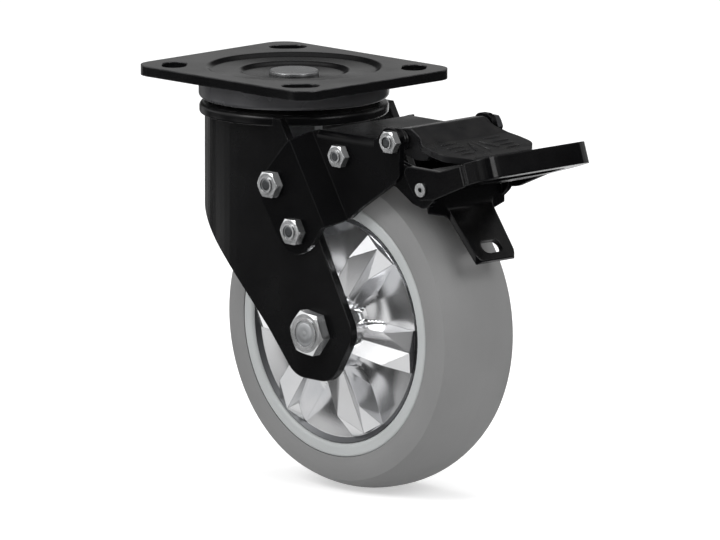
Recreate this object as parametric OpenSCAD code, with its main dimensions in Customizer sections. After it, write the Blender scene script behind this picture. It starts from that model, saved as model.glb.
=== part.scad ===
// Swivel castor with a top plate, a twin-pedal tread brake and a 152 mm wheel.
// Origin: swivel axis at the plate's upper face. +Z up, +X to the brake side, -Y to the axle nut.

/* [Top plate] */
// Length of the plate along X
plate_l = 114; // [106:1:124]
// Width of the plate along Y
plate_w = 99; // [97:1:112]
// Thickness of the pressed sheet
plate_t = 4.6; // [4:0.2:6]
// Radius of the plate's corners
plate_corner_r = 11; // [6:1:14]
// Distance between slot centres along X
slot_pitch_x = 83; // [78:1:86]
// Distance between slot centres along Y
slot_pitch_y = 73.2; // [70:0.2:76]
// Width of a fixing slot
slot_w = 11.4; // [9:0.2:12]
// Length of a fixing slot, end to end
slot_l = 17.5; // [14:0.5:19]
// Depth of each of the two round pressings
pressing_d = 1.6; // [1:0.1:1.8]
// Radius at the outer edge of the first pressing
pressing_r = 41; // [40:0.5:43]
// Radius at the outer edge of the well
well_r = 26; // [24:0.5:27.5]

/* [Swivel head] */
// Outer radius of the dust ring
ring_r = 44; // [43.5:0.1:45]
// Depth of the dust ring below the plate
ring_h = 9.2; // [8:0.1:9.3]
// Radius of the king pin's shaft
pin_r = 8; // [7:0.25:9]
// Radius of the king pin's riveted head
pin_head_r = 11.4; // [10.5:0.1:13]
// Radius of the upper ball circle
upper_circle_r = 33; // [31:0.5:35]
// Radius of an upper ball
upper_ball_r = 3.25; // [3:0.05:3.4]
// Radius of the lower ball circle
lower_circle_r = 15; // [14.5:0.25:17]
// Radius of a lower ball
lower_ball_r = 2.5; // [2.3:0.05:2.6]

/* [Yoke] */
// Thickness of the yoke's sheet
yoke_t = 4; // [3:0.25:4.5]
// Distance between the outer faces of the legs
yoke_w = 73.6; // [73:0.2:78]
// Reach of the rounded front ahead of the swivel axis
yoke_front = 41; // [39:0.5:42]
// Radius of the yoke's rim bead
rim_r = 43.7; // [43.2:0.1:44]
// Radius of a leg's lower end
leg_end_r = 22; // [18:0.5:24]
// Distance from the swivel axis back to the axle
trail = 50.2; // [47:0.2:52]
// Height of the plate's upper face above the top of the tread
head_room = 37.2; // [36.5:0.1:40]

/* [Wheel] */
// Radius of the tread at the middle
wheel_r = 76.2; // [68:0.2:84]
// Rise of the tread's crown above its shoulders
crown_h = 5.5; // [4:0.1:8]
// Half the width of the tread between the shoulders
shoulder_y = 21.9; // [20:0.1:23]
// Height of the tyre's side, from the liner to the shoulder
side_h = 11.1; // [9:0.1:14]
// Half the width of the liner
liner_y = 23.6; // [22:0.1:24]
// Height of the liner's bead, from the core to the tyre
bead_h = 6.5; // [5:0.1:8]
// Half the width of the core's rim
core_y = 22.6; // [21:0.1:23]
// Half the length of the core's hub
hub_y = 31; // [30:0.1:31.2]
// Radius of the core's hub
hub_r = 19; // [18:0.25:21]
// Number of spokes on each side
spoke_count = 6; // [5:1:7]
// Turn of the first spoke from the trail direction
spoke_turn = -5.7; // [-30:0.1:30]
// Half the distance between a spoke's two ridges
ridge_w = 7.7; // [6:0.1:8.5]
// Depth of the valley between the two ridges
valley_d = 4.8; // [2:0.2:6]

/* [Wheel bearings] */
// Radius of the axle bolt
axle_r = 6; // [5:0.25:6.5]
// Outer radius of a bearing
bearing_r = 16; // [15:0.25:16.5]
// Width of a bearing
bearing_w = 10; // [9:0.5:11]
// Radius of a bearing ball
bearing_ball_r = 2.4; // [2:0.1:2.6]
// Number of balls in a bearing
bearing_balls_n = 9; // [7:1:10]

/* [Fasteners] */
// Across flats of the axle's nut and bolt head
axle_af = 19; // [17:0.5:20]
// Thickness of the axle's nut
axle_nut_h = 6; // [5:0.5:9]
// Radius of the bracket bolts
clamp_r = 3; // [2.5:0.25:3.5]
// Across flats of the bracket nuts
clamp_af = 11.4; // [10:0.2:12]
// Thickness of the bracket nuts
clamp_nut_h = 5.2; // [4:0.2:6]
// Radius of the two pivot bolts
pivot_r = 2.5; // [2:0.1:3]
// Across flats of the pivot nuts
pivot_af = 9.6; // [8:0.2:10]
// Thickness of the pivot nuts
pivot_nut_h = 4.6; // [3:0.2:6]

/* [Brake bracket] */
// Thickness of the bracket's sheet
bracket_t = 3; // [2.5:0.25:3.5]
// Distance between the outer faces of the rear plates
bracket_w = 63; // [62:0.2:66]
// Height of the bracket's web below the plate
bracket_top = -20.6; // [-21.5:0.1:-20]

/* [Brake levers] */
// Thickness of the brake arm and both pedals
lever_t = 2.8; // [2.4:0.1:3]
// Width of the brake tongue
tongue_w = 24; // [20:1:30]
// Half the outer width of the foot loop
loop_y = 34.5; // [33:0.5:37]
// Height of the foot loop's wall
loop_h = 10; // [8:0.5:12]
// Upward tilt of the foot loop
loop_tilt = 18.5; // [15:0.5:23]
// Half the width of the release pad
pad_y = 28.4; // [27:0.2:29]
// Wire radius of the pedal springs
wire_r = 0.7; // [0.5:0.05:0.8]

/* [Hidden] */
$fn = 64;
slack = 0.05;
gap = 0.3;
// Swivel head, from the plate's underside down to the retaining nut
terrace_z = -pressing_d;
well_z = -2 * pressing_d;
pin_head_z = -pressing_d;
race_z = terrace_z - plate_t;
race_t = 2.5;
ring_wall = 2.7;
ring_z = -plate_t - ring_h;
upper_ball_z = race_z - race_t - upper_ball_r + 0.6;
crown_z = upper_ball_z - upper_ball_r + 0.6;
crown_bottom = crown_z - yoke_t;
lower_ball_z = crown_bottom - lower_ball_r + 0.6;
lower_race_z = lower_ball_z - lower_ball_r + 0.6;
lower_race_t = 3.2;
king_nut_h = 6;
rim_top = crown_z - 2;
rim_h = 5;
// Legs and axle
leg_y = yoke_w / 2;
leg_in = leg_y - yoke_t;
axle_z = -head_room - wheel_r;
// Rings of the wheel, from the tread inwards
shoulder_r = wheel_r - crown_h;
liner_r = shoulder_r - side_h;
core_r = liner_r - bead_h;
front_roundness = 2.4;
// The bearing's ball circle runs midway between its two races
race_mid = (bearing_r + axle_r) / 2;
race_wall = (bearing_r - axle_r) / 2 - bearing_ball_r * 0.58;
hub_recess = 0.4;
bearing_y = hub_y - hub_recess - bearing_w / 2;
// Fixing points of the brake bracket, as [x, z]
clamp_points = [[26.7, -47], [41.6, -67]];
arm_pivot = [62.8, -30.5];
pedal_pivot = [96.3, -19.9];
rivet_point = [111.6, -40.8];
plate_y = bracket_w / 2;
plate_in = plate_y - bracket_t;
joggle_start = [37.5, -27.5];
joggle_end = [59.1, -63.4];
joggle_w = 7.7;
// Levers, from the bracket's plates inwards
lever_y = plate_in - gap;
lever_in = lever_y - lever_t;
arm_y = lever_in - gap;
arm_in = arm_y - lever_t;
rivet_r = 3.2;
loop_hinge = [128, -29.6];
loop_rear = 32.4;
loop_corner = 8;
spring_turns = 1.75;
spring_rise = 2 * wire_r + 0.1;
pedal_cheek_y = plate_in - 2 * gap - 2 * wire_r - spring_turns * spring_rise;

// Points of an arc about c, from angle a to angle b in n steps
function arc(c, r, a, b, n = 8) =
    [for (i = [0:n]) c + r * [cos(a + (b - a) * i / n), sin(a + (b - a) * i / n)]];
function unit(v) = v / norm(v);
// Rounds one corner b between a and c with radius r
function corner(a, b, c, r, n = 6) =
    let (u = unit(a - b), v = unit(c - b), half = acos(max(-1, min(1, u * v))) / 2)
    r <= 0 || half > 89 ? [b] :
    let (m = b + unit(u + v) * r / sin(half), p = b + u * r / tan(half) - m, q = b + v * r / tan(half) - m,
        start = atan2(p[1], p[0]), turn = atan2(p[0] * q[1] - p[1] * q[0], p * q))
    arc(m, r, start, start + turn, n);
// Rounds every corner of an outline given as [x, y, radius]
function rounded(p, n = 6) =
    let (k = len(p), xy = [for (q = p) [q[0], q[1]]])
    [for (i = [0:k - 1]) each corner(xy[(i + k - 1) % k], xy[i], xy[(i + 1) % k], p[i][2], n)];

// Lays a profile drawn in X and Z across Y, from y0 to y1
module across(y0, y1) {
    translate([0, y1, 0]) rotate([90, 0, 0]) linear_extrude(y1 - y0) children();
}
// Repeats a piece on the other side of the XZ plane
module both_sides() {
    children();
    mirror([0, 1, 0]) children();
}
// A shaft along Y through the point at = [x, z]
module shaft(at, r, y0, y1) {
    translate([at[0], y0, at[1]]) rotate([-90, 0, 0]) cylinder(h = y1 - y0, r = r);
}
// A tube along Y
module bush(at, outer, inner, y0, y1) {
    difference() {
        shaft(at, outer, y0, y1);
        shaft(at, inner, y0 - 1, y1 + 1);
    }
}
// A hexagon nut along Y with a low collar round its bore on the outer side
module nut(at, af, bore, y0, h, collar = 0) {
    outer = af / sqrt(3);
    difference() {
        union() {
            intersection() {
                translate([at[0], y0, at[1]]) rotate([90, 0, 0]) cylinder(h = h, r = outer, $fn = 6);
                shaft_cone(at, y0, h, outer);
            }
            if (collar > 0) shaft(at, bore + 0.12 * outer, y0 - h - collar, y0 - h + 0.1);
        }
        shaft(at, bore, y0 - h - collar - 1, y0 + 1);
    }
}
// The chamfering cone that trims a hexagon's corners
module shaft_cone(at, y0, h, r) {
    cut = 0.09 * r;
    translate([at[0], y0, at[1]]) rotate([90, 0, 0]) rotate_extrude()
        polygon([[0, 0], [r, 0], [r, h - cut], [r - 2 * cut, h], [0, h]]);
}

module slot_hole() {
    reach = (slot_l - slot_w) / 2;
    for (side = [-1, 1]) translate([0, side * reach, -plate_t - 1]) cylinder(h = plate_t + 2, d = slot_w);
    translate([-slot_w / 2, -reach, -plate_t - 1]) cube([slot_w, 2 * reach, plate_t + 2]);
}

// A pressed step that rises softly from z0 to z1 over the length run and ends at radius r
function soft_step(r, run, z0, z1, n = 6) =
    [for (i = [0:n]) [r - run + run * i / n, z0 + (z1 - z0) * (1 - cos(180 * i / n)) / 2]];

module top_plate() {
    run = 3.5;
    color("#232325") difference() {
        union() {
            difference() {
                translate([0, 0, -plate_t]) linear_extrude(plate_t) polygon(rounded([
                    [-plate_l / 2, -plate_w / 2, plate_corner_r],
                    [plate_l / 2, -plate_w / 2, plate_corner_r],
                    [plate_l / 2, plate_w / 2, plate_corner_r],
                    [-plate_l / 2, plate_w / 2, plate_corner_r]], 12));
                translate([0, 0, -plate_t - 1]) cylinder(h = plate_t + 2, r = pressing_r + 2);
                for (x = [-1, 1], y = [-1, 1]) translate([x * slot_pitch_x / 2, y * slot_pitch_y / 2, 0])
                    rotate(atan2(y * slot_pitch_y, x * slot_pitch_x)) slot_hole();
            }
            rotate_extrude($fn = 96) polygon(concat([[pin_r + slack, well_z]],
                soft_step(well_r, run, well_z, terrace_z), soft_step(pressing_r, run, terrace_z, 0),
                [[pressing_r + 2, 0], [pressing_r + 2, -plate_t], [pressing_r, -plate_t],
                    [pressing_r - run, race_z], [well_r, race_z], [well_r - run * 0.6, well_z - plate_t],
                    [pin_r + slack, well_z - plate_t]]));
        }
    }
}

// Pressed ring under the plate that carries the upper ball track and hides the balls
module dust_ring() {
    lip = 2;
    color("#3a3a3c") difference() {
        rotate_extrude($fn = 96) polygon(concat(
            [[well_r + 1, race_z - race_t], [well_r + 1, race_z], [pressing_r - 3.5, race_z],
                [pressing_r, -plate_t], [ring_r - 1, -plate_t], [ring_r, -plate_t - 1]],
            arc([ring_r - lip, ring_z + lip], lip, 0, -90),
            [[ring_r - ring_wall, ring_z], [ring_r - ring_wall, race_z - race_t]]));
        ball_track(upper_circle_r, upper_ball_z, upper_ball_r);
    }
}

// A grooved track for a circle of balls about the swivel axis
module ball_track(circle_r, z, ball_r) {
    translate([0, 0, z]) rotate_extrude($fn = 96)
        translate([circle_r, 0]) circle(r = ball_r + slack, $fn = 48);
}

module king_pin() {
    edge = 0.5;
    color("#77797b") rotate_extrude() polygon([
        [0, pin_head_z], [pin_head_r - edge, pin_head_z], [pin_head_r, pin_head_z - edge],
        [pin_head_r, well_z], [pin_r, well_z], [pin_r, lower_race_z - lower_race_t - king_nut_h - 2],
        [0, lower_race_z - lower_race_t - king_nut_h - 2]]);
}

module lower_race() {
    rise = 1.5;
    outer = lower_circle_r + lower_ball_r + 2.5;
    color("#8b8d90") difference() {
        rotate_extrude() polygon([
            [pin_r + slack, lower_race_z], [outer - 1.5, lower_race_z], [outer, lower_race_z + rise],
            [outer + 2, lower_race_z + rise], [outer + 1, lower_race_z - 1.5],
            [outer - 3, lower_race_z - lower_race_t], [pin_r + slack, lower_race_z - lower_race_t]]);
        ball_track(lower_circle_r, lower_ball_z, lower_ball_r);
    }
}

module king_nut() {
    color("#9b9da0") difference() {
        translate([0, 0, lower_race_z - lower_race_t - king_nut_h])
            cylinder(h = king_nut_h, r = pin_r + 5.5, $fn = 6);
        translate([0, 0, lower_race_z - lower_race_t - king_nut_h - 1])
            cylinder(h = king_nut_h + 2, r = pin_r + slack);
    }
}

// As many balls as the circle holds
module ball_circle(circle_r, z, ball_r) {
    count = floor(360 / (2 * asin((ball_r + 0.2) / circle_r)));
    color("#c8cacd") for (i = [0:count - 1])
        rotate(i * 360 / count) translate([circle_r, 0, z]) sphere(r = ball_r, $fn = 24);
}

module upper_balls() {
    ball_circle(upper_circle_r, upper_ball_z, upper_ball_r);
}

module lower_balls() {
    ball_circle(lower_circle_r, lower_ball_z, lower_ball_r);
}

// Half of the yoke's plan: a rounded front that runs tangent into the straight legs
function yoke_plan(front, half) =
    [for (i = [0:40]) let (a = 90 + 180 * i / 40, c = cos(a), s = sin(a))
        [-front * pow(abs(c), 2 / front_roundness), half * sign(s) * pow(abs(s), 2 / front_roundness)]];

module yoke() {
    rear = trail + leg_end_r + 10;
    low = axle_z - leg_end_r;
    color("#1d1d1f") difference() {
        union() {
            intersection() {
                translate([0, 0, low - 5]) linear_extrude(crown_bottom + 1 - low + 5) difference() {
                    polygon(concat(yoke_plan(yoke_front, leg_y), [[rear, -leg_y], [rear, leg_y]]));
                    polygon(concat(yoke_plan(yoke_front - yoke_t, leg_in),
                        [[rear + 1, -leg_in], [rear + 1, leg_in]]));
                }
                across(-leg_y - 1, leg_y + 1) polygon(rounded([
                    [-yoke_front - 2, crown_bottom + 1, 0], [28, crown_bottom + 1, 0],
                    [34.3, -28, 4], [trail + 3.7, axle_z + 43, 0],
                    [trail + leg_end_r + 4.2, axle_z + 1.5, 11],
                    [trail + 12, low - 0.3, 12], [trail - 12, low, 14], [trail - 29, axle_z - 2, 10],
                    [-8, -86, 20], [-36, -60, 8], [-yoke_front - 2, -55, 0]]));
            }
            rotate_extrude($fn = 96) polygon(concat(
                [[pin_r + slack, crown_bottom], [pin_r + slack, crown_z], [38, crown_z],
                    [rim_r - 2.2, rim_top]],
                arc([rim_r - 2, rim_top - 2], 2, 90, 0),
                arc([rim_r - 1.1, rim_top - rim_h + 1.1], 1.1, 0, -90),
                [[leg_in + 2.5, rim_top - rim_h], [leg_in + 1, crown_bottom]]));
        }
        ball_track(upper_circle_r, upper_ball_z, upper_ball_r);
        ball_track(lower_circle_r, lower_ball_z, lower_ball_r);
        shaft([trail, axle_z], axle_r + slack, -leg_y - 1, leg_y + 1);
        for (p = clamp_points) shaft(p, clamp_r + slack, -leg_y - 1, leg_y + 1);
    }
}

// Side view of the bracket, with the ear that carries the pedal
module bracket_outline() {
    high = clamp_points[0];
    low = clamp_points[1];
    polygon(rounded([
        [joggle_start[0] - 2, joggle_start[1] + 1, 2], [joggle_start[0] + 5.5, bracket_top - 1, 3],
        [joggle_start[0] + 8.5, bracket_top, 0], [pedal_pivot[0] - 10.6, bracket_top, 6],
        [pedal_pivot[0] - 5, pedal_pivot[1] + 6, 4], [pedal_pivot[0] + 4.7, pedal_pivot[1] + 6, 4.6],
        [pedal_pivot[0] + 4.5, pedal_pivot[1] - 15.4, 2], [pedal_pivot[0] + 2.2, pedal_pivot[1] - 18, 2],
        [pedal_pivot[0] - 5.2, pedal_pivot[1] - 23.2, 2], [arm_pivot[0] + 12, arm_pivot[1] - 23.3, 4],
        [arm_pivot[0] + 5.2, arm_pivot[1] - 28.8, 3], [joggle_end[0] - 1.1, joggle_end[1] - 0.6, 2],
        [low[0] + 9.9, low[1] - 6, 8], [low[0] - 0.6, low[1] - 14, 10], [low[0] - 12.6, low[1] - 3, 10],
        [high[0] - 12.2, high[1] - 2, 10], [high[0] - 1.7, high[1] + 9, 6]]));
}

// The joggle as seen along its own fold lines: outside the leg, in, and back
module joggle_profile() {
    outer = leg_y + bracket_t;
    fold = bracket_t * 0.42;
    polygon([[-70, leg_y], [-fold, leg_y], [joggle_w - fold, plate_in], [90, plate_in],
        [90, plate_y], [joggle_w + fold, plate_y], [fold, outer], [-70, outer]]);
}

module bracket_side() {
    fall = atan2(joggle_start[1] - joggle_end[1], joggle_end[0] - joggle_start[0]);
    difference() {
        intersection() {
            across(plate_in - 1, leg_y + bracket_t + 1) bracket_outline();
            translate([joggle_start[0], 0, joggle_start[1]]) rotate([0, fall - 90, 0])
                translate([0, 0, -90]) linear_extrude(160) joggle_profile();
        }
        for (p = clamp_points) shaft(p, clamp_r + slack, leg_y - 1, leg_y + bracket_t + 1);
        shaft(arm_pivot, pivot_r + slack, plate_in - 1, plate_y + 1);
        shaft(pedal_pivot, pivot_r + slack, plate_in - 1, plate_y + 1);
    }
}

module brake_bracket() {
    bend = 3.5;
    front = 47;
    rear = 84;
    skirt = bracket_top - bend - 0.5;
    color("#1b1b1d") {
        both_sides() difference() {
            bracket_side();
            translate([front, plate_y - bend - 1, bracket_top - bend])
                cube([rear - front, 2 * bend, 2 * bend]);
        }
        translate([front, 0, 0]) rotate([90, 0, 90]) linear_extrude(rear - front) difference() {
            polygon(rounded([[-plate_y, skirt, 0], [plate_y, skirt, 0],
                [plate_y, bracket_top, bend], [-plate_y, bracket_top, bend]]));
            polygon(rounded([[-plate_in, skirt - 1, 0], [plate_in, skirt - 1, 0],
                [plate_in, bracket_top - bracket_t, 1], [-plate_in, bracket_top - bracket_t, 1]]));
        }
    }
}

module clamp_bolt(p) {
    head_h = 2.8;
    shaft(p, clamp_r, leg_in, leg_y + bracket_t + clamp_nut_h - 0.6);
    shaft(p, clamp_af * 0.52, leg_in - head_h, leg_in);
}

module bracket_bolts() {
    color("#b4b6ba") both_sides() for (p = clamp_points) clamp_bolt(p);
}

module bracket_nuts() {
    color("#c9cbd0") both_sides() for (p = clamp_points)
        nut(p, clamp_af, clamp_r + slack, -leg_y - bracket_t, clamp_nut_h - 1, 1);
}

// A bolt across the bracket, its head on the far side
module pivot_bolt(p) {
    head_h = 3.4;
    shaft(p, pivot_r, -plate_y - pivot_nut_h + 0.5, plate_y);
    mirror([0, 1, 0]) intersection() {
        translate([p[0], -plate_y, p[1]]) rotate([90, 0, 0])
            cylinder(h = head_h, r = pivot_af / sqrt(3), $fn = 6);
        shaft_cone(p, -plate_y, head_h, pivot_af / sqrt(3));
    }
}

module pivot_nut(p) {
    nut(p, pivot_af, pivot_r + slack, -plate_y, pivot_nut_h - 1, 1);
}

module arm_bolt() {
    color("#b4b6ba") pivot_bolt(arm_pivot);
}

module arm_nut() {
    color("#c9cbd0") pivot_nut(arm_pivot);
}

module pedal_bolt() {
    color("#b4b6ba") pivot_bolt(pedal_pivot);
}

module pedal_nut() {
    color("#c9cbd0") pivot_nut(pedal_pivot);
}

module axle_bolt() {
    at = [trail, axle_z];
    color("#aeb0b4") {
        shaft(at, axle_r, -leg_y - axle_nut_h + 0.3, leg_y);
        mirror([0, 1, 0]) intersection() {
            translate([trail, -leg_y, axle_z]) rotate([90, 0, 0])
                cylinder(h = axle_nut_h, r = axle_af / sqrt(3), $fn = 6);
            shaft_cone(at, -leg_y, axle_nut_h, axle_af / sqrt(3));
        }
    }
}

module axle_nut() {
    color("#c9cbd0") rotate_about([trail, axle_z], 8)
        nut([trail, axle_z], axle_af, axle_r + slack, -leg_y, axle_nut_h - 0.6, 0.6);
}

// Turns a piece about a line along Y through at = [x, z]
module rotate_about(at, angle) {
    translate([at[0], 0, at[1]]) rotate([0, angle, 0]) translate([-at[0], 0, -at[1]]) children();
}

// Distance rings between each bearing and its leg
module axle_spacers() {
    color("#9b9da0") both_sides()
        bush([trail, axle_z], axle_r + 3.4, axle_r + slack, -leg_in, -hub_y + hub_recess);
}

module bearing_groove() {
    translate([trail, -bearing_y, axle_z]) rotate([90, 0, 0]) rotate_extrude()
        translate([race_mid, 0]) circle(r = bearing_ball_r + slack, $fn = 40);
}

module bearing_ring(outer, inner) {
    difference() {
        bush([trail, axle_z], outer, inner, -bearing_y - bearing_w / 2, -bearing_y + bearing_w / 2);
        bearing_groove();
    }
}

module bearing_inner_races() {
    color("#a5a7ab") both_sides() bearing_ring(axle_r + slack + race_wall, axle_r + slack);
}

module bearing_outer_races() {
    color("#a5a7ab") both_sides() bearing_ring(bearing_r, bearing_r - race_wall);
}

module bearing_balls() {
    color("#c8cacd") both_sides() for (i = [0:bearing_balls_n - 1])
        translate([trail, -bearing_y, axle_z]) rotate([0, i * 360 / bearing_balls_n, 0])
            translate([race_mid, 0, 0]) sphere(r = bearing_ball_r, $fn = 24);
}

// Keeps the inner races apart along the axle
module bearing_sleeve() {
    reach = bearing_y - bearing_w / 2;
    color("#8b8d90") bush([trail, axle_z], axle_r + 3, axle_r + slack, -reach, reach);
}

// Points of one spoke of the near face: root, ridge ends, rim tips and the feet of its walls
function spoke_points(turn) =
    let (root = hub_r + 0.3, crest = core_r - 14.3, tip = core_r - 2.6, base = 12, fall = 0.06,
        crest_y = hub_y - 0.7, root_y = crest_y + 0.7, toe = 10, foot = core_y - 0.4,
        tip_y = crest_y - valley_d - (tip - crest) * fall, near_w = ridge_w - 1.2,
        flat = [
            [root - 3, -root_y + valley_d, 0], [root, -root_y, near_w], [root, -root_y, -near_w],
            [crest, -crest_y, ridge_w], [crest, -crest_y, -ridge_w], [tip, -tip_y, 0],
            [tip - 1, -foot, toe], [tip - 1, -foot, -toe], [root + 1, -base, near_w + 1.8],
            [root + 1, -base, -near_w - 1.8], [crest, -base, ridge_w + 2.6], [crest, -base, -ridge_w - 2.6],
            [tip - 1, -base, toe + 0.9], [tip - 1, -base, -toe - 0.9], [tip, -base, 0]])
    [for (p = flat) [p[0] * cos(turn) - p[2] * sin(turn), p[1], p[0] * sin(turn) + p[2] * cos(turn)]];

// The star of spokes on the near face: each spoke has two ridges, a valley and a pointed foot
module spoke_star() {
    n = spoke_count;
    top = n * 15;
    low = top + 1;
    points = concat([for (i = [0:n - 1]) each spoke_points(spoke_turn + i * 360 / n)],
        [[0, -hub_y + valley_d, 0], [0, -12, 0]]);
    faces = [for (i = [0:n - 1]) let (a = i * 15, b = ((i + 1) % n) * 15) each [
        [a, a + 1, a + 3], [a, a + 3, a + 5], [a, a + 4, a + 2], [a, a + 5, a + 4],
        [a + 5, a + 3, a + 6], [a + 5, a + 7, a + 4],
        [a + 1, a + 8, a + 10, a + 3], [a + 2, a + 4, a + 11, a + 9],
        [a + 3, a + 10, a + 12, a + 6], [a + 4, a + 7, a + 13, a + 11],
        [a + 6, a + 12, a + 14, a + 5], [a + 7, a + 5, a + 14, a + 13],
        [top, a + 1, a], [top, a, a + 2], [top, b + 2, a + 1],
        [a + 1, b + 2, b + 9, a + 8],
        [low, a + 8, b + 9], [low, a + 10, a + 8], [low, a + 12, a + 10], [low, a + 14, a + 12],
        [low, a + 13, a + 14], [low, a + 11, a + 13], [low, a + 9, a + 11]]];
    polyhedron(points, faces, convexity = 8);
}

module wheel_core() {
    tip = core_r - 2.6;
    hub = hub_r - 0.5;
    color("#dfe2e6") translate([trail, 0, axle_z]) difference() {
        union() {
            rotate([90, 0, 0]) rotate_extrude($fn = 128) polygon(concat(
                [[bearing_r - 4, -hub_y + 1], [hub - 1, -hub_y + 1], [hub, -hub_y + 2]],
                core_floor(-1), [[core_r, -core_y], [core_r, core_y]], core_floor(1),
                [[hub, hub_y - 2], [hub - 1, hub_y - 1], [bearing_r - 4, hub_y - 1]]));
            both_sides() spoke_star();
        }
        rotate([90, 0, 0]) cylinder(h = 2 * hub_y + 2, r = bearing_r - 4, center = true);
        both_sides() translate([0, -hub_y - 1, 0]) rotate([-90, 0, 0])
            cylinder(h = bearing_w + 1.4, r = bearing_r);
    }
}

// The dished floor between the spokes, from the hub out to the rim or back
function core_floor(side) =
    let (n = 18, tip = core_r - 2.6, hub_floor = hub_y - 6, rim_floor = core_y - 1.4, dish = 3.6)
    [for (i = [0:n]) let (t = side < 0 ? i / n : 1 - i / n)
        [hub_r + (tip - hub_r) * t,
            side * (hub_floor + (rim_floor - hub_floor) * t - dish * sin(180 * pow(t, 0.7)))]];

module wheel_liner() {
    bead = 2.4;
    color("#b7bdbd") translate([trail, 0, axle_z]) rotate([90, 0, 0]) rotate_extrude($fn = 128)
        polygon(concat(
            [[core_r, -core_y + 0.2]], arc([core_r + bead, -liner_y + bead], bead, -180, -90),
            arc([liner_r - 1.5, -liner_y + 1.5], 1.5, -90, 0),
            arc([liner_r - 1.5, liner_y - 1.5], 1.5, 0, 90),
            arc([core_r + bead, liner_y - bead], bead, 90, 180), [[core_r, core_y - 0.2]]));
}

// Tyre section: flat cheek, rounded bulge, shoulder crease and a crowned tread
module tyre() {
    n = 24;
    crown = 2.4;
    bulge = 0.7;
    cheek_y = liner_y - 0.3;
    cheek = [for (i = [0:8]) let (t = i / 8)
        [liner_r + (shoulder_r - liner_r) * t, cheek_y + (shoulder_y - cheek_y) * t + bulge * sin(180 * t)]];
    tread = [for (i = [1:n - 1]) let (s = 1 - 2 * i / n)
        [shoulder_r + (wheel_r - shoulder_r) * (1 - pow(abs(s), crown)), s * shoulder_y]];
    back = [for (i = [8:-1:0]) [cheek[i][0], -cheek[i][1]]];
    color("#858686") translate([trail, 0, axle_z]) rotate([90, 0, 0]) rotate_extrude($fn = 160)
        polygon(concat([[liner_r, liner_y - 1.5]], cheek, tread, back, [[liner_r, -liner_y + 1.5]]));
}

// Side view of the brake arm's cheeks
module arm_outline() {
    polygon(rounded([
        [arm_pivot[0] - 6.3, arm_pivot[1] + 4.8, 5], [arm_pivot[0] + 16, arm_pivot[1] + 4.8, 4],
        [rivet_point[0] - 7.8, rivet_point[1] + 8.2, 4], [rivet_point[0] + 5.4, rivet_point[1] + 7, 5],
        [rivet_point[0] + 5.8, rivet_point[1] - 4.2, 6], [rivet_point[0] - 0.6, rivet_point[1] - 9.8, 5],
        [rivet_point[0] - 8.6, rivet_point[1] - 7.8, 5], [arm_pivot[0] + 29.2, arm_pivot[1] - 11.5, 5],
        [arm_pivot[0] - 6.3, arm_pivot[1] - 5.8, 5.6]]));
}

// Side view of the arm's rear wall and of the tongue that presses the tread
module tongue_side() {
    t = lever_t;
    polygon(rounded([
        [103, -34, 0], [112.4, -34, 3.4], [114.5, -50.4, 7], [133.4, -73.5, 0.6],
        [133.4 - t * 0.78, -73.5 - t * 0.62, 0.6], [112, -51.6, 4], [109.8, -34 - t, 1],
        [103, -34 - t, 0]]));
}

module brake_arm() {
    hole_w = 6.8;
    hole_l = 12.4;
    color("#1a1a1c") difference() {
        union() {
            both_sides() across(arm_in, arm_y) arm_outline();
            intersection() {
                across(-arm_y, arm_y) tongue_side();
                translate([90, 0, -90]) linear_extrude(90) polygon(rounded([
                    [0, -arm_y + 0.5, 0], [22.6, -arm_y + 0.5, 0], [24.4, -tongue_w / 2 - 2, 3],
                    [43.3, -tongue_w / 2, 3.4], [43.3, tongue_w / 2, 3.4], [24.4, tongue_w / 2 + 2, 3],
                    [22.6, arm_y - 0.5, 0], [0, arm_y - 0.5, 0]]));
            }
        }
        both_sides() {
            shaft(arm_pivot, pivot_r + slack, arm_in - 1, arm_y + 1);
            shaft(rivet_point, rivet_r - 0.9, arm_in - 1, arm_y + 1);
            shaft(rivet_point, rivet_r + slack, arm_in - 1.2, arm_in);
        }
        translate([128.2, 0, -69.9]) rotate([0, 50.6, 0]) for (s = [-1, 1])
            translate([-1, s * (hole_l - hole_w) / 2, 0]) cylinder(h = 20, d = hole_w, center = true);
        translate([128.2, 0, -69.9]) rotate([0, 50.6, 0]) translate([-1, 0, 0])
            cube([hole_w, hole_l - hole_w, 20], center = true);
    }
}

// Hollow rivets that join the foot lever to the brake arm
module lever_rivets() {
    color("#c9cbd0") both_sides() difference() {
        union() {
            shaft(rivet_point, rivet_r - 0.9 - slack, -lever_y - 0.9, -arm_in + 0.9);
            shaft(rivet_point, rivet_r, -lever_y - 0.9, -lever_y);
            shaft(rivet_point, rivet_r, -arm_in, -arm_in + 0.9);
        }
        shaft(rivet_point, 1.2, -lever_y - 2, -arm_in + 2);
    }
}

// Side view of the foot lever's arms
module lever_arm_outline() {
    rise = tan(loop_tilt);
    polygon(rounded([
        [rivet_point[0] - 12.6, rivet_point[1] + 8.6, 3], [rivet_point[0] - 7.6, rivet_point[1] + 9.8, 4],
        [loop_hinge[0] - 4.6, loop_hinge[1] - 4.6 * rise, 6],
        [loop_hinge[0] + 6, loop_hinge[1] + 6 * rise, 0],
        [loop_hinge[0] + 6 + loop_h * sin(loop_tilt), loop_hinge[1] + 6 * rise - loop_h * cos(loop_tilt), 0],
        [rivet_point[0] + 8.2, rivet_point[1] - 3.7, 3], [rivet_point[0] - 2.8, rivet_point[1] - 5.4, 6],
        [rivet_point[0] - 8.8, rivet_point[1] + 2, 4]]));
}

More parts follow.
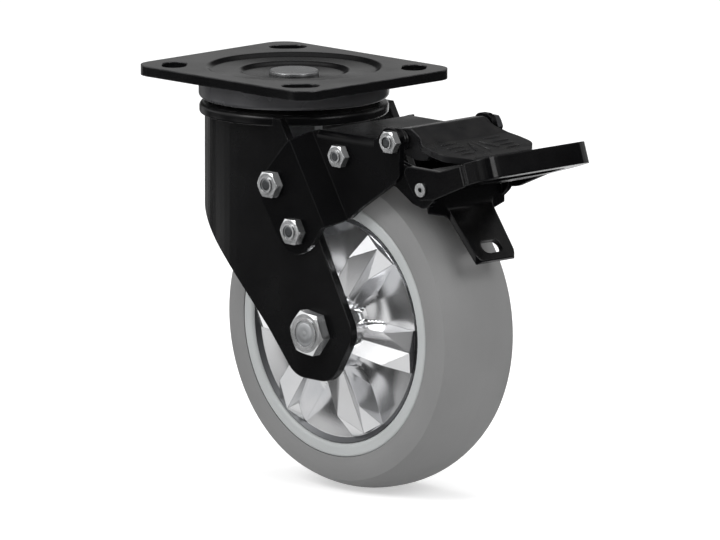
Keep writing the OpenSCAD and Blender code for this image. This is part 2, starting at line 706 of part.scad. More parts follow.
// Plan of the foot loop's outer edge in its own tilted plane, from the hinge line back
function loop_plan(out, start) = rounded([
    [start, lever_y - out, 0], [9.6, lever_y - out, 5], [17.6, loop_y - out, 5],
    [loop_rear - out, loop_y - out, max(1, loop_corner - out)],
    [loop_rear - out, -loop_y + out, max(1, loop_corner - out)],
    [17.6, -loop_y + out, 5], [9.6, -lever_y + out, 5], [start, -lever_y + out, 0]]);

module foot_lever() {
    window = 7.5;
    color("#1c1c1e") difference() {
        union() {
            both_sides() across(lever_in, lever_y) lever_arm_outline();
            translate([loop_hinge[0], 0, loop_hinge[1]]) rotate([0, -loop_tilt, 0])
                translate([0, 0, -loop_h]) difference() {
                    linear_extrude(loop_h) polygon(loop_plan(0, 1));
                    translate([0, 0, lever_t]) linear_extrude(loop_h) polygon(loop_plan(lever_t, -1));
                    translate([0, 0, -1]) linear_extrude(loop_h) polygon(rounded([
                        [12, -loop_y + window + 3, 5], [loop_rear - window, -loop_y + window + 3, 5],
                        [loop_rear - window, loop_y - window - 3, 5], [12, loop_y - window - 3, 5]]));
                }
        }
        both_sides() shaft(rivet_point, rivet_r - 0.9 + slack, lever_in - 1, lever_y + 1);
    }
}

// Side view of the release pedal's top: hinge hood, ramp and pad
module pedal_top_side() {
    t = lever_t;
    polygon(rounded([
        [91.2, -15.3, 2], [100.2, -14.1, 5], [111.4, -20.4, 6], [131, -24, 8], [136, -24.8, 1],
        [135.6, -24.8 - t, 1], [130.4, -24 - t, 6], [110.6, -20.6 - t, 6], [99.7, -14.7 - t, 3],
        [91.7, -15.5 - t, 1]]));
}

module release_pedal() {
    hood_y = pedal_cheek_y;
    color("#202022") difference() {
        union() {
            intersection() {
                across(-pad_y, pad_y) pedal_top_side();
                translate([0, 0, -40]) linear_extrude(40) polygon(rounded([
                    [90.7, -hood_y, 1], [106.4, -hood_y, 4], [111, -pad_y + 1, 3], [118, -pad_y, 6],
                    [127, -pad_y, 8], [136.2, -pad_y + 10, 8], [136.2, pad_y - 10, 8], [127, pad_y, 8],
                    [118, pad_y, 6], [111, pad_y - 1, 3], [106.4, hood_y, 4], [90.7, hood_y, 1]]));
            }
            both_sides() across(hood_y - lever_t, hood_y) polygon(rounded([
                [pedal_pivot[0] - 5.2, -15.7, 1], [100, -15.2, 3], [111, -21.6, 3], [113, -28, 3],
                [104.5, -28.4, 4], [pedal_pivot[0] - 5.2, pedal_pivot[1] - 5.4, 5]]));
        }
        shaft(pedal_pivot, pivot_r + slack, -hood_y - 1, hood_y + 1);
    }
}

// Coils that push the release pedal back, one at each end of its bolt
module pedal_springs() {
    coil_r = pivot_r + 2.4 * wire_r;
    sides = 8;
    steps = 20;
    n = round(spring_turns * steps);
    rings = [for (i = [0:n], j = [0:sides - 1]) let (a = i * 360 / steps, b = j * 360 / sides,
        r = coil_r + wire_r * cos(b),
        y = plate_in - gap - wire_r - spring_rise * i / steps + wire_r * sin(b))
        [r * cos(a), y, r * sin(a)]];
    shell = [for (i = [0:n - 1], j = [0:sides - 1]) let (a = i * sides + j, b = i * sides + (j + 1) % sides)
        [a, b, b + sides, a + sides]];
    ends = [[for (j = [sides - 1:-1:0]) j], [for (j = [0:sides - 1]) n * sides + j]];
    color("#8b8d90") both_sides() translate([pedal_pivot[0], 0, pedal_pivot[1]])
        polyhedron(rings, concat(shell, ends));
}

top_plate();
dust_ring();
king_pin();
lower_race();
king_nut();
upper_balls();
lower_balls();
yoke();
brake_bracket();
bracket_bolts();
bracket_nuts();
arm_bolt();
arm_nut();
pedal_bolt();
pedal_nut();
axle_bolt();
axle_nut();
axle_spacers();
bearing_inner_races();
bearing_sleeve();
bearing_outer_races();
bearing_balls();
wheel_core();
wheel_liner();
tyre();
brake_arm();
lever_rivets();
foot_lever();
release_pedal();
pedal_springs();
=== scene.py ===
# Looks of a braked swivel castor: paints, zinc, rubber, a faceted wheel core, studio light and camera.
import math

import bmesh
import bpy
from mathutils import Matrix, Vector


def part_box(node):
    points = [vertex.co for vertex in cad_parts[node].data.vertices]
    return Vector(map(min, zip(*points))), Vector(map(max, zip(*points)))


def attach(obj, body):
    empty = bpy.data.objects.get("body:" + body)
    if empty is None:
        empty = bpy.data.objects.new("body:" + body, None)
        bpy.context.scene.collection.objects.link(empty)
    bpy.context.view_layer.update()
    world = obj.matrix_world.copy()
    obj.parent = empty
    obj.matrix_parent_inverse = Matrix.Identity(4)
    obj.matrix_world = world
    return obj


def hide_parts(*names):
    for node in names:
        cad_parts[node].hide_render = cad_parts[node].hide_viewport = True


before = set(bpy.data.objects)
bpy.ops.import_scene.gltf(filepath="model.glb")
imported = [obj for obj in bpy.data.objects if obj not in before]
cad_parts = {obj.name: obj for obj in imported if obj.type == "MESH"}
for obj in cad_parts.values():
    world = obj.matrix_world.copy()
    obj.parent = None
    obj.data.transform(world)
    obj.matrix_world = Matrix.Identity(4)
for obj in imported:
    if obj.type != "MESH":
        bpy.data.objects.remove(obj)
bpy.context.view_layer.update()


def outer_face(nut):
    """The middle of the outer face of a nut on the near side, in metres."""
    low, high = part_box(nut)
    return Vector(((low.x + high.x) / 2, low.y, (low.z + high.z) / 2))


MM = 0.001
WHITE = (1.0, 1.0, 1.0, 1.0)
# Points nearer to each other than this are welded, in metres
WELD = 0.000002
# Height of the floor, and a point on the wheel's axle line, in metres
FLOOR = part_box("tyre")[0][2]
AXLE = outer_face("axle_nut")
# Where each sloping ring of the plate's pressings starts and ends, as radii in metres
PRESSED_RINGS = ((0.012, 0.0245), (0.0265, 0.0385))
# Where the wheel core's rim is darkened towards the liner with painted shade, standing for the dark
# reflection of its inward cone, as radii in metres
RIM_SHADE = (0.05045, 0.0506)
# The stretch of the slow noise that shows as a change from place to place
CLOUDY = (0.3, 0.7)
DUST_ON_PAINT, DUST_ON_RUBBER = "8a8780", "b9b6ae"
# The release pad's face seen from the side: x and z where it starts and ends, in millimetres
PAD_START, PAD_END = (111.4, -20.4), (131.0, -24.0)
PAD_FALL = math.atan2(PAD_START[1] - PAD_END[1], PAD_END[0] - PAD_START[0])
# The pad's grip ribs in millimetres: their bevel is RIB_EDGE, and their middle lies RIB_SUNK below the face
RIB_WIDTH, RIB_HEIGHT, RIB_EDGE, RIB_SUNK = 1.15, 1.3, 0.3, 0.25
# The ribs from above, in millimetres: both ends of the fan's ribs, and a side rib's x, inner and outer y
FAN_RIBS = (((126.5, -7.4), (117.0, -3.4)), ((128.5, 0.0), (115.5, 0.0)), ((126.5, 7.4), (117.0, 3.4)))
SIDE_RIBS = ((114.9, 8.8, 19.0), (119.8, 9.2, 19.4), (124.2, 9.8, 18.8), (128.2, 10.4, 18.8))
# Millimetres across the flats of the nuts that clamp the bracket
CLAMP_NUT = 11.4
# Each bolt's radius, and how far its end lies below its nut's outer face, in millimetres
CLAMP_BOLT, PIVOT_BOLT, AXLE_BOLT = (3.0, 0.35), (2.5, 0.25), (6.0, 0.05)


def srgb(code, shade=1.0):
    """A colour written as six hex digits, in the linear values that a shader takes."""
    parts = [int(code[i:i + 2], 16) / 255 for i in (0, 2, 4)]
    linear = [c / 12.92 if c <= 0.04045 else ((c + 0.055) / 1.055) ** 2.4 for c in parts]
    return [c * shade for c in linear] + [1.0]


class Nodes:
    """Shorthand for building a node tree."""

    def __init__(self, tree):
        self.tree = tree

    def add(self, kind, settings=None, **inputs):
        """A new node with its settings and inputs; i0, i1 and so on name inputs by number."""
        node = self.tree.nodes.new(kind)
        for name, value in (settings or {}).items():
            setattr(node, name, value)
        for name, value in inputs.items():
            self.put(node, name.replace("_", " "), value)
        return node

    def put(self, node, name, value):
        """Links a socket or a node's first output to an input, or sets the input's value."""
        numbered = name[0] == "i" and name[1:].isdigit()
        socket = node.inputs[int(name[1:])] if numbered else node.inputs[name]
        if isinstance(value, bpy.types.NodeSocket):
            self.tree.links.new(value, socket)
        elif isinstance(value, bpy.types.Node):
            self.tree.links.new(value.outputs[0], socket)
        else:
            socket.default_value = value

    def maths(self, operation, a, b=0.5, c=0.5):
        """One step of arithmetic on numbers or sockets."""
        node = self.add("ShaderNodeMath", {"operation": operation}, i0=a)
        if len(node.inputs) > 1:
            self.put(node, "i1", b)
        if len(node.inputs) > 2:
            self.put(node, "i2", c)
        return node.outputs[0]

    def vector(self, operation, a, b=None):
        """One step of arithmetic on vectors."""
        node = self.add("ShaderNodeVectorMath", {"operation": operation}, i0=a)
        if b is not None:
            self.put(node, "i1", b)
        return node.outputs["Value" if operation in ("LENGTH", "DOT_PRODUCT") else "Vector"]

    def blend(self, factor, a, b):
        """A mix of two colours."""
        node = self.add("ShaderNodeMix", {"data_type": "RGBA", "clamp_factor": True})
        self.put(node, "i0", factor)
        self.put(node, "i6", a)
        self.put(node, "i7", b)
        return node.outputs[2]

    def spread(self, value, low, high, out_low=0.0, out_high=1.0):
        """Maps the stretch from low to high onto another, and stops at its ends."""
        node = self.add("ShaderNodeMapRange", Value=value)
        ends = (("From Min", low), ("From Max", high), ("To Min", out_low), ("To Max", out_high))
        for name, number in ends:
            node.inputs[name].default_value = number
        return node.outputs[0]

    def lobe(self, direction, turn, rise, wide, tight, level):
        """Light that fills a round patch of the studio, given by its turn and rise in degrees."""
        turn, rise = math.radians(turn), math.radians(rise)
        centre = (math.cos(turn) * math.cos(rise), math.sin(turn) * math.cos(rise), math.sin(rise))
        meet = self.vector("DOT_PRODUCT", direction, centre)
        return self.spread(meet, math.cos(math.radians(wide)), math.cos(math.radians(tight)), 0.0, level)

    def noise(self, scale, detail):
        """Plain noise on the piece's own coordinates."""
        return self.add("ShaderNodeTexNoise", Scale=scale, Detail=detail, Vector=self.place()).outputs[0]

    def place(self):
        """Where a point lies on its piece, in metres from the frame's origin."""
        return self.add("ShaderNodeTexCoord").outputs["Object"]

    def facing(self, axis):
        """How far a point of a piece faces along one of the piece's own axes."""
        normal = self.add("ShaderNodeTexCoord").outputs["Normal"]
        return self.add("ShaderNodeSeparateXYZ", i0=normal).outputs[axis]

    def axle_radius(self):
        """Distance from the wheel's axle line."""
        flat = self.vector("MULTIPLY", self.vector("SUBTRACT", self.place(), AXLE), (1.0, 0.0, 1.0))
        return self.vector("LENGTH", flat)


def new_group(name, inputs, outputs):
    """An empty shader group with named number inputs and named outputs."""
    tree = bpy.data.node_groups.new(name, "ShaderNodeTree")
    for label, default in inputs:
        socket = tree.interface.new_socket(label, in_out="INPUT", socket_type="NodeSocketFloat")
        socket.default_value = default
    for label, kind in outputs:
        tree.interface.new_socket(label, in_out="OUTPUT", socket_type=kind)
    n = Nodes(tree)
    return tree, n, n.add("NodeGroupInput").outputs, n.add("NodeGroupOutput")


def rounded_edge_group():
    """Softened edges: the normal of a rounded edge, and a mask of the edge that comes and goes; the paints
    lighten along this mask as a painted highlight and wear, and the wheel core darkens along it as painted
    shade.
    """
    tree, n, given, out = new_group(
        "rounded_edge", [("Radius", 0.0006), ("Patch Scale", 90.0)],
        [("Mask", "NodeSocketFloat"), ("Normal", "NodeSocketVector")])
    round_off = n.add("ShaderNodeBevel", {"samples": 6}, Radius=given["Radius"]).outputs[0]
    flat = n.add("ShaderNodeNewGeometry").outputs["Normal"]
    edge = n.spread(n.vector("DOT_PRODUCT", round_off, flat), 0.995, 0.8)
    broken = n.spread(n.noise(given["Patch Scale"], 4.0), 0.35, 0.6)
    n.put(out, "Mask", n.maths("MULTIPLY", edge, broken))
    n.put(out, "Normal", round_off)
    return tree


def grain_group():
    """Fine grain of a sprayed or cast surface: a height, and a slow change from place to place."""
    tree, n, given, out = new_group(
        "grain", [("Scale", 900.0), ("Slow Scale", 25.0)],
        [("Height", "NodeSocketFloat"), ("Slow", "NodeSocketFloat")])
    n.put(out, "Height", n.noise(given["Scale"], 3.0))
    n.put(out, "Slow", n.noise(given["Slow Scale"], 4.0))
    return tree


def settled_dust_group():
    """Dust that settles on what faces up."""
    tree, n, given, out = new_group("settled_dust", [("Amount", 0.1)], [("Mask", "NodeSocketFloat")])
    upward = n.spread(n.facing("Z"), 0.3, 1.0)
    speckle = n.spread(n.noise(160.0, 5.0), 0.35, 0.75)
    n.put(out, "Mask", n.maths("MULTIPLY", n.maths("MULTIPLY", upward, speckle), given["Amount"]))
    return tree


def pressed_fall_group():
    """The slight fall of the top plate's round pressings towards the king pin."""
    tree, n, given, out = new_group("pressed_fall", [("Depth", 0.0012)], [("Height", "NodeSocketFloat")])
    radius = n.vector("LENGTH", n.vector("MULTIPLY", n.place(), (1.0, 1.0, 0.0)))
    steps = n.maths("ADD", *[n.spread(radius, inner, outer) for inner, outer in PRESSED_RINGS])
    n.put(out, "Height", n.maths("MULTIPLY", steps, given["Depth"]))
    return tree


rounded_edge = rounded_edge_group()
grain = grain_group()
settled_dust = settled_dust_group()
pressed_fall = pressed_fall_group()


def use_group(n, tree, **inputs):
    """A shared effect with this material's own values; gives its outputs."""
    node = n.add("ShaderNodeGroup", {"node_tree": tree})
    for name, value in inputs.items():
        n.put(node, name.replace("_", " "), value)
    return node.outputs


def bare_material(name):
    """A material with an empty node tree."""
    material = bpy.data.materials.new(name)
    material.use_nodes = True
    material.node_tree.nodes.clear()
    return material, Nodes(material.node_tree)


def new_material(name):
    """A material with one plain shader, ready to be filled in."""
    material, n = bare_material(name)
    shader = n.add("ShaderNodeBsdfPrincipled")
    n.put(n.add("ShaderNodeOutputMaterial"), "Surface", shader)
    return material, n, shader


def satin_paint(name, colour, wear_and_highlight_colour, roughness, edge_r, dust=0.04, shine=0.25, pressed=0.0):
    """Sprayed satin paint, lighter along its edges as a painted highlight and wear; pressed is the fall of
    the plate's pressings.
    """
    material, n, shader = new_material(name)
    edges = use_group(n, rounded_edge, Radius=edge_r)
    texture = use_group(n, grain, Scale=1400.0, Slow_Scale=30.0)
    dusty = use_group(n, settled_dust, Amount=dust)["Mask"]
    base = n.blend(n.spread(texture["Slow"], *CLOUDY), srgb(colour), srgb(colour, 1.25))
    # Lighter along the edges: a painted highlight, partly edge wear
    worn_and_highlit = n.blend(n.maths("MULTIPLY", edges["Mask"], 0.55), base, srgb(wear_and_highlight_colour))
    n.put(shader, "Base Color", n.blend(dusty, worn_and_highlit, srgb(DUST_ON_PAINT)))
    rough = n.spread(texture["Slow"], *CLOUDY, roughness - 0.05, roughness + 0.07)
    n.put(shader, "Roughness", n.maths("ADD", rough, n.maths("MULTIPLY", dusty, 0.6)))
    bump = n.add("ShaderNodeBump", Strength=0.12, Distance=0.0002, Height=texture["Height"],
                 Normal=edges["Normal"])
    if pressed:
        fall = use_group(n, pressed_fall, Depth=pressed)["Height"]
        bump = n.add("ShaderNodeBump", Strength=1.0, Distance=1.0, Height=fall, Normal=bump)
    n.put(shader, "Normal", bump)
    n.put(shader, "Specular IOR Level", shine)
    return material


def plated_steel(name, colour, roughness, edge_r=0.0003, flats=1.0):
    """Zinc plating or bare steel, slightly mottled; flats darkens what doesn't face along Y, as painted
    shade on the side faces.
    """
    material, n, shader = new_material(name)
    edges = use_group(n, rounded_edge, Radius=edge_r, Patch_Scale=200.0)
    texture = use_group(n, grain, Scale=2200.0, Slow_Scale=160.0)
    base = n.blend(n.spread(texture["Slow"], 0.35, 0.65), srgb(colour, 0.86), srgb(colour))
    # Faces that don't face along Y are darkened: painted shade on the nuts' side faces
    if flats < 1.0:
        endwise = n.spread(n.maths("ABSOLUTE", n.facing("Y")), 0.15, 0.45)
        base = n.blend(endwise, srgb(colour, flats), base)
    n.put(shader, "Base Color", base)
    n.put(shader, "Roughness", n.spread(texture["Slow"], *CLOUDY, roughness - 0.06, roughness + 0.1))
    n.put(shader, "Metallic", 0.75)
    bump = n.add("ShaderNodeBump", Strength=0.06, Distance=0.0001, Height=texture["Height"],
                 Normal=edges["Normal"])
    n.put(shader, "Normal", bump)
    return material


def polished_core():
    """The wheel core's polished light metal facets, with a soft break at each edge."""
    material, n, shader = new_material("polished_core")
    edges = use_group(n, rounded_edge, Radius=0.0003, Patch_Scale=120.0)
    texture = use_group(n, grain, Scale=1500.0, Slow_Scale=45.0)
    base = n.blend(n.spread(texture["Slow"], *CLOUDY), srgb("e8e9eb"), srgb("f6f6f7"))
    # Darker at the rim next to the liner: painted shade for a dark reflection; the rim is also rougher
    rim_shade = n.spread(n.axle_radius(), *RIM_SHADE)
    # Darker along the facet edges and creases: painted shade
    shaded_seams = n.blend(n.maths("MULTIPLY", edges["Mask"], 0.6), base, srgb("707174"))
    n.put(shader, "Base Color", n.blend(rim_shade, shaded_seams, srgb("5c5d5f")))
    n.put(shader, "Metallic", 0.97)
    smooth = n.spread(texture["Slow"], *CLOUDY, 0.14, 0.2)
    n.put(shader, "Roughness", n.maths("MULTIPLY_ADD", rim_shade, 0.2, smooth))
    bump = n.add("ShaderNodeBump", Strength=0.03, Distance=0.0001, Height=texture["Height"],
                 Normal=edges["Normal"])
    n.put(shader, "Normal", bump)
    return material


def moulded_rubber(name, colour, roughness, ring_marks):
    """Moulded grey rubber or liner plastic, with faint rings from its mould."""
    material, n, shader = new_material(name)
    edges = use_group(n, rounded_edge, Radius=0.0005)
    texture = use_group(n, grain, Scale=1800.0, Slow_Scale=35.0)
    dusty = use_group(n, settled_dust, Amount=0.08)["Mask"]
    sideways = n.add("ShaderNodeSeparateXYZ", i0=n.place()).outputs["Y"]
    across = n.maths("MULTIPLY_ADD", sideways, 0.35, n.axle_radius())
    rings = n.maths("SINE", n.maths("MULTIPLY", across, ring_marks))
    base = n.blend(n.spread(texture["Slow"], *CLOUDY), srgb(colour, 0.93), srgb(colour))
    n.put(shader, "Base Color", n.blend(dusty, base, srgb(DUST_ON_RUBBER)))
    n.put(shader, "Roughness", n.spread(texture["Slow"], *CLOUDY, roughness - 0.05, roughness + 0.06))
    height = n.maths("ADD", n.maths("MULTIPLY", rings, 0.25), texture["Height"])
    bump = n.add("ShaderNodeBump", Strength=0.18, Distance=0.0002, Height=height, Normal=edges["Normal"])
    n.put(shader, "Normal", bump)
    return material


plate_paint = satin_paint("plate_paint", "0c0c0d", "6a6a6c", 0.17, 0.0009, dust=0.015, shine=0.5,
                          pressed=0.0012)
ring_paint = satin_paint("ring_paint", "404042", "707073", 0.28, 0.0008, shine=0.45)
fork_paint = satin_paint("fork_paint", "0b0b0c", "343436", 0.24, 0.0009)
bracket_paint = satin_paint("bracket_paint", "070708", "2c2c2e", 0.24, 0.0008, dust=0.0, shine=0.14)
brake_paint = satin_paint("brake_paint", "19191a", "444447", 0.28, 0.0008)
lever_paint = satin_paint("lever_paint", "040405", "343436", 0.16, 0.0009, shine=0.34)
spring_steel = satin_paint("spring_steel", "0c0c0d", "2c2c30", 0.30, 0.0002)
zinc = plated_steel("zinc", "f2f3f4", 0.17, 0.00015, flats=0.2)
bolt_steel = plated_steel("bolt_steel", "c6c8ca", 0.34)
dull_steel = plated_steel("dull_steel", "56585a", 0.34)
dark_steel = plated_steel("dark_steel", "3a3b3d", 0.34, 0.00015)
rivet_steel = plated_steel("rivet_steel", "98999a", 0.30, 0.0005)
bare_steel = plated_steel("bare_steel", "a9abae", 0.32)
ball_steel = plated_steel("ball_steel", "d5d7da", 0.12, 0.0001)
core_metal = polished_core()
liner_plastic = moulded_rubber("liner_plastic", "b8bbbb", 0.42, 3000.0)
tyre_rubber = moulded_rubber("tyre_rubber", "848484", 0.62, 2200.0)

FINISHES = {
    plate_paint: ["top_plate"],
    ring_paint: ["dust_ring"],
    fork_paint: ["yoke"],
    bracket_paint: ["brake_bracket"],
    brake_paint: ["release_pedal"],
    lever_paint: ["brake_arm", "foot_lever"],
    rivet_steel: ["king_pin"],
    zinc: ["bracket_nuts", "arm_nut", "pedal_nut", "axle_nut", "lever_rivets"],
    bolt_steel: ["bracket_bolts", "arm_bolt", "axle_bolt"],
    dark_steel: ["pedal_bolt"],
    spring_steel: ["pedal_springs"],
    bare_steel: ["lower_race", "king_nut", "axle_spacers", "bearing_inner_races", "bearing_sleeve",
                 "bearing_outer_races"],
    ball_steel: ["upper_balls", "lower_balls", "bearing_balls"],
    liner_plastic: ["wheel_liner"],
    tyre_rubber: ["tyre"],
}
for material, nodes in FINISHES.items():
    for node in nodes:
        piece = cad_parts[node]
        piece.data.materials.clear()
        piece.data.materials.append(material)


def shape_to_piece(form, name, material, body, sharp):
    """Turns a bmesh into a piece on a body, smooth but for edges that turn by more than sharp degrees."""
    mesh = bpy.data.meshes.new(name)
    form.to_mesh(mesh)
    form.free()
    for face in mesh.polygons:
        face.use_smooth = True
    mesh.set_sharp_from_angle(angle=math.radians(sharp))
    mesh.materials.append(material)
    piece = bpy.data.objects.new(name, mesh)
    bpy.context.collection.objects.link(piece)
    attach(piece, body)
    return piece


def faceted_core():
    """The wheel core with crisp facets on its spokes and a smooth dish between them."""
    form = bmesh.new()
    form.from_mesh(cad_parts["wheel_core"].data)
    bmesh.ops.remove_doubles(form, verts=form.verts, dist=WELD)
    core = shape_to_piece(form, "core_facets", core_metal, "wheel", sharp=4.0)
    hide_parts("wheel_core")


def pad_rib(form, start, end):
    """One rib of the pad between two points seen from above, in millimetres."""
    (x0, y0), (x1, y1) = start, end
    x, y = (x0 + x1) / 2, (y0 + y1) / 2
    z = PAD_START[1] - RIB_SUNK - (x - PAD_START[0]) * math.tan(PAD_FALL)
    place = (Matrix.Translation((x * MM, y * MM, z * MM)) @ Matrix.Rotation(PAD_FALL, 4, "Y")
             @ Matrix.Rotation(math.atan2(x0 - x1, y1 - y0), 4, "Z")
             @ Matrix.Diagonal((RIB_WIDTH * MM, math.dist(start, end) * MM, RIB_HEIGHT * MM, 1.0)))
    bmesh.ops.create_cube(form, size=1.0, matrix=place)


def pad_ribs():
    """Grip ribs on the release pad: four rows at each side and a fan of three between them."""
    form = bmesh.new()
    for start, end in FAN_RIBS:
        pad_rib(form, start, end)
    for x, near, far in SIDE_RIBS:
        for side in (1, -1):
            pad_rib(form, (x, side * near), (x, side * far))
    bmesh.ops.bevel(form, geom=form.edges[:], offset=RIB_EDGE * MM, segments=2, profile=0.5,
                    affect="EDGES", material=-1)
    shape_to_piece(form, "pad_ribs", brake_paint, "pedal", sharp=40.0)


def bolt_tip(form, place, radius, sunk):
    """A bolt's end below a place on its nut's face: flat, with a fine groove in it and a chamfer."""
    outline = ((0.0, 0.0), (0.18 * radius, 0.0), (0.24 * radius, 0.08), (0.32 * radius, 0.0),
               (0.70 * radius, 0.0), (0.82 * radius, 0.25), (0.84 * radius, 0.55), (0.97 * radius, 0.8))
    verts = [form.verts.new(place + Vector((out, sunk + deep, 0.0)) * MM) for out, deep in outline]
    edges = [form.edges.new(pair) for pair in zip(verts, verts[1:])]
    bmesh.ops.spin(form, geom=verts + edges, cent=place, axis=(0.0, 1.0, 0.0), angle=math.tau,
                   steps=40, use_merge=True)


def bolt_tips(name, material, tips):
    """The turned bolt ends that show in the nuts; each is given by a place, a radius and a depth."""
    form = bmesh.new()
    for tip in tips:
        bolt_tip(form, *tip)
    bmesh.ops.remove_doubles(form, verts=form.verts, dist=WELD)
    bmesh.ops.recalc_face_normals(form, faces=form.faces)
    shape_to_piece(form, name, material, "fork", sharp=35.0)


def clamp_faces():
    """The middles of the outer faces of the two near nuts that clamp the bracket, in metres."""
    low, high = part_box("bracket_nuts")
    flat = CLAMP_NUT * MM / 2
    corner = flat / math.cos(math.radians(30.0))
    return (Vector((low.x + corner, low.y, high.z - flat)), Vector((high.x - corner, low.y, low.z + flat)))


faceted_core()
pad_ribs()
small_tips = [(place, *CLAMP_BOLT) for place in clamp_faces()]
small_tips += [(outer_face(nut), *PIVOT_BOLT) for nut in ("arm_nut", "pedal_nut")]
bolt_tips("bolt_tips", dull_steel, small_tips)
bolt_tips("axle_tip", bolt_steel, [(AXLE, *AXLE_BOLT)])
# The photograph's wheel mirrors the white studio, so the dark fork keeps out of reflections
for node in ("yoke", "brake_bracket"):
    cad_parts[node].visible_glossy = False

# What the studio's lights look at, in metres
MIDDLE = Vector((0.05, 0.0, -0.09))
# The bright spot that mirrors see on the floor: its place, its outer and its full radius in metres,
# and the floor's level outside and inside it
SPOT, SPOT_EDGE, SPOT_LEVELS = (0.05, 0.0, FLOOR), (0.165, 0.125), (0.03, 0.72)
# What mirrors see of the floor beyond the spot: turn, outer and inner half angle in degrees, level,
# start and end in metres from the spot; each band fades in and out over BAND_FADE
FLOOR_BANDS = ((132, 22, 12, 1.0, 0.3, 20.0), (172, 14, 6, 0.4, 0.5, 20.0),
               (207, 14, 9, 1.0, 0.42, 0.8), (247, 17, 11, 1.0, 0.3, 0.8))
BAND_FADE = 0.2
# What mirrors see of the studio: turn, rise, outer and inner half angle in degrees, level
SKY_PATCHES = ((-138, 42, 28, 20, 1.0), (-76, 20, 13, 9, 0.95), (38, 38, 20, 12, 1.0),
               (174, 4, 14, 7, 0.45), (203, 4, 18, 10, 0.9), (230, 10, 16, 9, 0.85),
               (256, 6, 20, 10, 0.7), (130, 9, 16, 7, 0.32), (76, 16, 24, 12, 0.9),
               (200, 22, 22, 12, 0.95))
# A dark screen that the plate's pressings mirror, given in the same way
DARK_SCREEN = (135, 50, 42, 30, 0.8)
# The ceiling: sine of the rise where it starts and where it is full, and the level below and above
CEILING_EDGE, CEILING_LEVELS = (0.6, 0.85), (0.05, 0.9)


def mirrored_floor(n):
    """How bright each point of the floor is to a mirror: a spot below the wheel, and bands further off."""
    from_spot = n.vector("SUBTRACT", n.place(), SPOT)
    reach = n.vector("LENGTH", from_spot)
    outward = n.vector("NORMALIZE", from_spot)
    level = n.spread(reach, *SPOT_EDGE, *SPOT_LEVELS)
    for turn, wide, tight, glow, start, end in FLOOR_BANDS:
        band = n.maths("MULTIPLY", n.spread(reach, start, start + BAND_FADE),
                       n.spread(reach, end + BAND_FADE, end))
        patch = n.maths("MULTIPLY", n.lobe(outward, turn, 0, wide, tight, glow), band)
        level = n.maths("MAXIMUM", level, patch)
    return level


def pale_floor():
    """The floor's material: white to the camera but for the shadow, and its own picture to a mirror."""
    material, n = bare_material("pale_floor")
    path = n.add("ShaderNodeLightPath").outputs
    mirrored = n.add("ShaderNodeEmission", Color=WHITE, Strength=mirrored_floor(n))
    shadowed = n.add("ShaderNodeBsdfDiffuse", Color=srgb("dcdcdc"))
    glow = n.add("ShaderNodeEmission", Color=WHITE, Strength=0.5)
    lit = n.add("ShaderNodeAddShader", i0=shadowed, i1=glow)
    plain = n.add("ShaderNodeMixShader", i0=path["Is Glossy Ray"], i1=shadowed, i2=mirrored)
    shown = n.add("ShaderNodeMixShader", i0=path["Is Camera Ray"], i1=plain, i2=lit)
    n.put(n.add("ShaderNodeOutputMaterial"), "Surface", shown)
    return material


def studio_floor():
    """A wide pale floor that shows white and keeps the castor's shadow."""
    form = bmesh.new()
    bmesh.ops.create_grid(form, x_segments=1, y_segments=1, size=12.0,
                          matrix=Matrix.Translation((0.0, 0.0, FLOOR)))
    mesh = bpy.data.meshes.new("studio_floor")
    form.to_mesh(mesh)
    form.free()
    mesh.materials.append(pale_floor())
    floor = bpy.data.objects.new("studio_floor", mesh)
    bpy.context.collection.objects.link(floor)


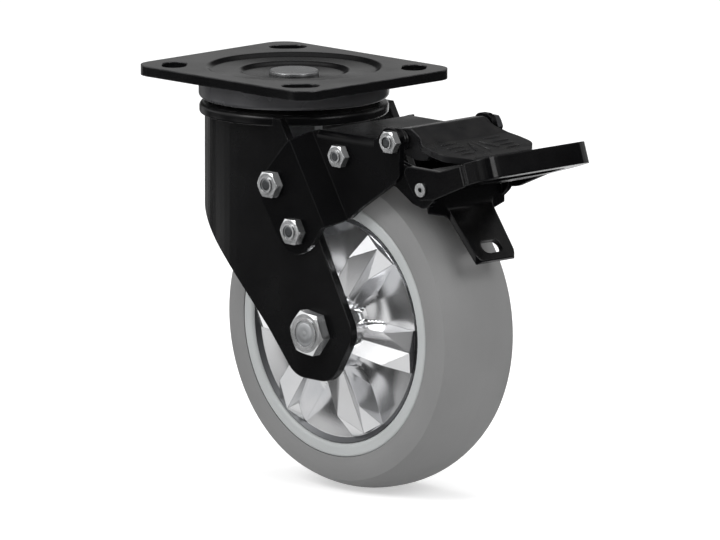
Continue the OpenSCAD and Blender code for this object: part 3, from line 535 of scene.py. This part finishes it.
def studio_world():
    """A white studio: full white where the camera looks, plain grey light elsewhere."""
    world = bpy.data.worlds.new("studio")
    bpy.context.scene.world = world
    world.use_nodes = True
    world.node_tree.nodes.clear()
    n = Nodes(world.node_tree)
    path = n.add("ShaderNodeLightPath").outputs
    facing = n.add("ShaderNodeTexCoord").outputs["Generated"]
    rise = n.add("ShaderNodeSeparateXYZ", i0=facing).outputs["Z"]
    ceiling = n.spread(rise, *CEILING_EDGE, *CEILING_LEVELS)
    glow = n.maths("MULTIPLY", ceiling, n.maths("SUBTRACT", 1.0, n.lobe(facing, *DARK_SCREEN)))
    for patch in SKY_PATCHES:
        glow = n.maths("MAXIMUM", glow, n.lobe(facing, *patch))
    mirror = n.add("ShaderNodeBackground", Color=WHITE, Strength=glow)
    soft = n.add("ShaderNodeBackground", Color=WHITE, Strength=0.6)
    white = n.add("ShaderNodeBackground", Color=WHITE, Strength=1.0)
    lit = n.add("ShaderNodeMixShader", i0=path["Is Glossy Ray"], i1=soft, i2=mirror)
    shown = n.add("ShaderNodeMixShader", i0=path["Is Camera Ray"], i1=lit, i2=white)
    n.put(n.add("ShaderNodeOutputWorld"), "Surface", shown)


def soft_box(name, place, width, height, watts, mirrored=True):
    """A rectangular soft light that looks at the castor; one that isn't mirrored only lights."""
    lamp = bpy.data.lights.new(name, "AREA")
    lamp.shape, lamp.size, lamp.size_y, lamp.energy = "RECTANGLE", width, height, watts
    holder = bpy.data.objects.new(name, lamp)
    bpy.context.collection.objects.link(holder)
    holder.visible_glossy = mirrored
    place = Vector(place)
    look = (MIDDLE - place).to_track_quat("-Z", "Y")
    holder.matrix_world = Matrix.Translation(place) @ look.to_matrix().to_4x4()


def photo_camera():
    """The photograph's long lens: where it stands, which way it looks and how far it sees."""
    turn, tilt = math.radians(45.4), math.radians(10.0)
    distance, aside, above = 9.0, 0.0304, -0.0939
    back = Vector((math.sin(turn) * math.cos(tilt), -math.cos(turn) * math.cos(tilt), math.sin(tilt)))
    right = Vector((math.cos(turn), math.sin(turn), 0.0))
    up = back.cross(right)
    lens = bpy.data.cameras.new("photo_camera")
    lens.lens, lens.sensor_width = 976.9, 36.0
    lens.clip_start, lens.clip_end = 0.5, 60.0
    camera = bpy.data.objects.new("photo_camera", lens)
    bpy.context.collection.objects.link(camera)
    stand = back * distance + right * aside + up * above
    camera.matrix_world = Matrix((
        (right.x, up.x, back.x, stand.x),
        (right.y, up.y, back.y, stand.y),
        (right.z, up.z, back.z, stand.z),
        (0.0, 0.0, 0.0, 1.0)))
    bpy.context.scene.camera = camera


studio_floor()
studio_world()
soft_box("key_light", (-0.3, -1.3, 1.1), 0.9, 0.9, 14.0)
soft_box("rear_light", (1.5, 0.1, 0.9), 0.8, 0.8, 9.0)
soft_box("top_light", (0.1, 0.2, 1.6), 1.2, 1.2, 10.0, mirrored=False)
photo_camera()
bpy.context.scene.view_settings.view_transform = "Standard"
